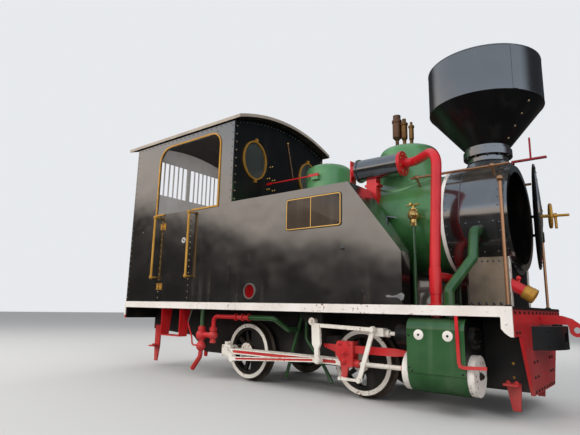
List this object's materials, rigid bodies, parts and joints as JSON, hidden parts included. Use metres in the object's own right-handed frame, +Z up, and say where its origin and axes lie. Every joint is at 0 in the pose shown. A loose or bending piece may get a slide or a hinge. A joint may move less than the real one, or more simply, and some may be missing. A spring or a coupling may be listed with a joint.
{
  "type": "steam locomotive",
  "caption": "Small two-axle side-tank steam locomotive with balloon chimney, outside cylinders and valve gear, and a closed cab.",
  "frame": {"origin": "middle of the length between the couplers' ends, on the centre line, at the wheel flanges' lowest point", "axes": "+X forward towards the chimney, +Y to the driver's left, +Z up"},
  "size_m": [5.27, 1.9078, 3.065],
  "materials": {
    "black_paint": "gloss",
    "green_paint": "gloss",
    "red_paint": "gloss",
    "white_paint": "gloss",
    "grey_paint": "satin",
    "brass": "polished",
    "copper": "tarnished",
    "glass": "clear"
  },
  "bodies": {
    "root": {"axle_boxes": "black_paint", "board_edges": "white_paint", "boiler_band": "white_paint", "boiler_barrel": "green_paint", "boiler_valves": "brass", "buffer_beams": "red_paint", "buffing_boxes": "black_paint", "cab_brasswork": "brass", "cab_front": "black_paint", "cab_handrails": "brass", "cab_rear": "grey_paint", "cab_roof": "black_paint", "cab_sides": "black_paint", "cab_steps": "red_paint", "chimney": "black_paint", "control_rods": "red_paint", "copper_rails": "copper", "cylinder_covers": "white_paint", "cylinders": "green_paint", "domes": "green_paint", "draw_hooks": "red_paint", "exhaust_pipes": "green_paint", "feed_pipes": "green_paint", "firebox": "black_paint", "frame_plates": "black_paint", "frame_stretchers": "black_paint", "front_fittings": "red_paint", "guard_irons": "red_paint", "injectors": "red_paint", "motion_brackets": "black_paint", "regulator_housing": "black_paint", "running_board": "black_paint", "saddle": "black_paint", "side_tanks": "black_paint", "slide_bars": "red_paint", "smokebox": "black_paint", "smokebox_front": "black_paint", "spectacle_glass": "glass", "steam_pipes": "red_paint", "valve_chests": "black_paint", "valve_gear": "white_paint"},
    "rear_axle": {"rear_wheels": "black_paint", "rear_tyres": "white_paint"},
    "front_axle": {"front_wheels": "black_paint", "front_tyres": "white_paint"},
    "smokebox_door": {"smokebox_door": "black_paint", "door_wheel": "brass"},
    "coupling_rod_left": {"coupling_rod_left": "white_paint"},
    "crosshead_left": {"crosshead_left": "red_paint"},
    "connecting_rod_left": {"connecting_rod_left": "white_paint"},
    "combination_lever_left": {"combination_lever_left": "white_paint"},
    "cab_door_left": {"cab_door_left": "black_paint", "door_fittings_left": "brass"},
    "coupling_rod_right": {"coupling_rod_right": "white_paint"},
    "crosshead_right": {"crosshead_right": "red_paint"},
    "connecting_rod_right": {"connecting_rod_right": "white_paint"},
    "combination_lever_right": {"combination_lever_right": "white_paint"},
    "cab_door_right": {"cab_door_right": "black_paint", "door_fittings_right": "brass"}
  },
  "joints": [
    {"name": "rear_axle_spin", "type": "hinge", "parent": "root", "child": "rear_axle", "pos_m": [-0.42, 0, 0.316], "axis": [0, 1, 0], "continuous": true},
    {"name": "front_axle_spin", "type": "hinge", "parent": "root", "child": "front_axle", "pos_m": [0.98, 0, 0.316], "axis": [0, 1, 0], "continuous": true},
    {"name": "coupling_rod_left_swing", "type": "hinge", "parent": "rear_axle", "child": "coupling_rod_left", "pos_m": [-0.42, 0.632, 0.166], "axis": [0, 1, 0], "continuous": true},
    {"name": "crosshead_left_slide", "type": "slide", "parent": "root", "child": "crosshead_left", "axis": [1, 0, 0], "range_m": [-0.1424, 0.1576]},
    {"name": "connecting_rod_left_swing", "type": "hinge", "parent": "crosshead_left", "child": "connecting_rod_left", "pos_m": [1.04735, 0.718, 0.316], "axis": [0, 1, 0], "range_deg": [0, 11.68]},
    {"name": "combination_lever_left_swing", "type": "hinge", "parent": "root", "child": "combination_lever_left", "pos_m": [1.17201, 0.787, 0.612], "axis": [0, -1, 0], "range_deg": [-19.5, 21.56]},
    {"name": "cab_door_left_swing", "type": "hinge", "parent": "root", "child": "cab_door_left", "pos_m": [-1.645, 0.881, 1.35], "axis": [0, 0, 1], "range_deg": [0, 90]},
    {"name": "coupling_rod_right_swing", "type": "hinge", "parent": "rear_axle", "child": "coupling_rod_right", "pos_m": [-0.57, -0.632, 0.316], "axis": [0, 1, 0], "continuous": true},
    {"name": "crosshead_right_slide", "type": "slide", "parent": "root", "child": "crosshead_right", "axis": [1, 0, 0], "range_m": [0, 0.3]},
    {"name": "connecting_rod_right_swing", "type": "hinge", "parent": "crosshead_right", "child": "connecting_rod_right", "pos_m": [0.905, -0.718, 0.316], "axis": [0, 1, 0], "range_deg": [-5.84, 5.84]},
    {"name": "combination_lever_right_swing", "type": "hinge", "parent": "root", "child": "combination_lever_right", "pos_m": [1.20973, -0.787, 0.612], "axis": [0, -1, 0], "range_deg": [0, 40.85]},
    {"name": "cab_door_right_swing", "type": "hinge", "parent": "root", "child": "cab_door_right", "pos_m": [-1.645, -0.881, 1.35], "axis": [0, 0, -1], "range_deg": [0, 90]},
    {"name": "smokebox_door_swing", "type": "hinge", "parent": "root", "child": "smokebox_door", "pos_m": [2.261, 0.48, 1.586], "axis": [0, 0, 1], "range_deg": [-13, 97]}
  ],
  "couplings": [
    {"joint": "front_axle_spin", "follows": "rear_axle_spin", "ratio": 1},
    {"joint": "coupling_rod_left_swing", "follows": "rear_axle_spin", "ratio": -1},
    {"joint": "combination_lever_left_swing", "follows": "crosshead_left_slide", "rad_per_m": 2.365},
    {"joint": "coupling_rod_right_swing", "follows": "rear_axle_spin", "ratio": -1},
    {"joint": "combination_lever_right_swing", "follows": "crosshead_right_slide", "rad_per_m": 2.365}
  ]
}
